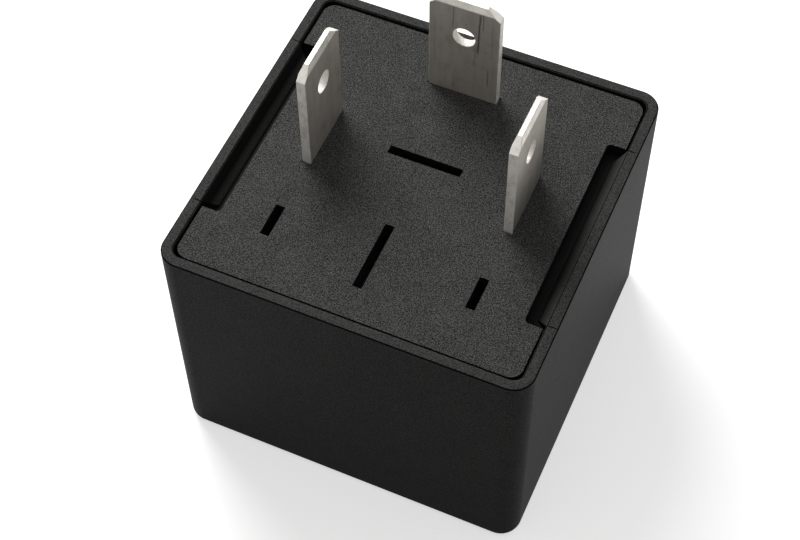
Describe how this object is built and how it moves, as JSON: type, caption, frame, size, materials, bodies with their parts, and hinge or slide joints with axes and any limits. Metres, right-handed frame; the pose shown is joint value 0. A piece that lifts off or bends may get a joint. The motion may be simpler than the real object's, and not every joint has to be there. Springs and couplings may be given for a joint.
{
  "type": "automotive relay",
  "caption": "Square black plug-in relay with three flat blade terminals on its terminal plate, spare blade slots and a sprung contact armature inside.",
  "frame": {"origin": "centre of the can's closed end, on the face that it stands on", "axes": "+Z from the closed end up through the terminal plate along the blades; +X to the coil blade, +Y to the load blade"},
  "size_m": [0.0324, 0.0322, 0.0364],
  "materials": {
    "case_plastic": "fine matte black moulding",
    "plate_plastic": "spark-eroded matte black moulding",
    "blade_metal": "rolled and tin plated, streaked along the blade",
    "magnet_steel": "zinc plated",
    "bobbin_plastic": "natural moulding",
    "copper_wire": "enamelled copper",
    "tape": "polyester tape",
    "brass": "plain",
    "leaf_bronze": "rolled",
    "spring_steel": "drawn wire",
    "contact_silver": "plain silver alloy",
    "copper_braid": "woven copper",
    "resistor_lacquer": "lacquered",
    "tinned_wire": "tinned",
    "solder": "bright"
  },
  "bodies": {
    "housing": {"case": "case_plastic", "base_plate": "plate_plastic", "load_blade": "blade_metal", "supply_blade": "blade_metal", "coil_blade": "blade_metal", "contact_bracket": "blade_metal", "yoke": "magnet_steel", "core": "magnet_steel", "bobbin": "bobbin_plastic", "winding": "copper_wire", "winding_tape": "tape", "fixed_contact": "contact_silver", "return_spring": "spring_steel", "braid": "copper_braid", "supply_coil_wire": "copper_wire", "return_coil_wire": "copper_wire", "resistor_body": "resistor_lacquer", "resistor_leads": "tinned_wire", "solder_joints": "solder"},
    "armature_assembly": {"armature": "magnet_steel", "residual_stud": "brass", "contact_leaf": "leaf_bronze", "leaf_rivets": "spring_steel", "moving_contact": "contact_silver"}
  },
  "joints": [
    {"name": "armature_hinge", "type": "hinge", "parent": "housing", "child": "armature_assembly", "pos_m": [0, -0.0124, 0.006], "axis": [1, 0, 0], "range_deg": [0, 2.2], "stiffness_Nm_per_rad": 0.017, "springref_deg": -9.74, "deforming": ["return_spring", "braid"]}
  ]
}
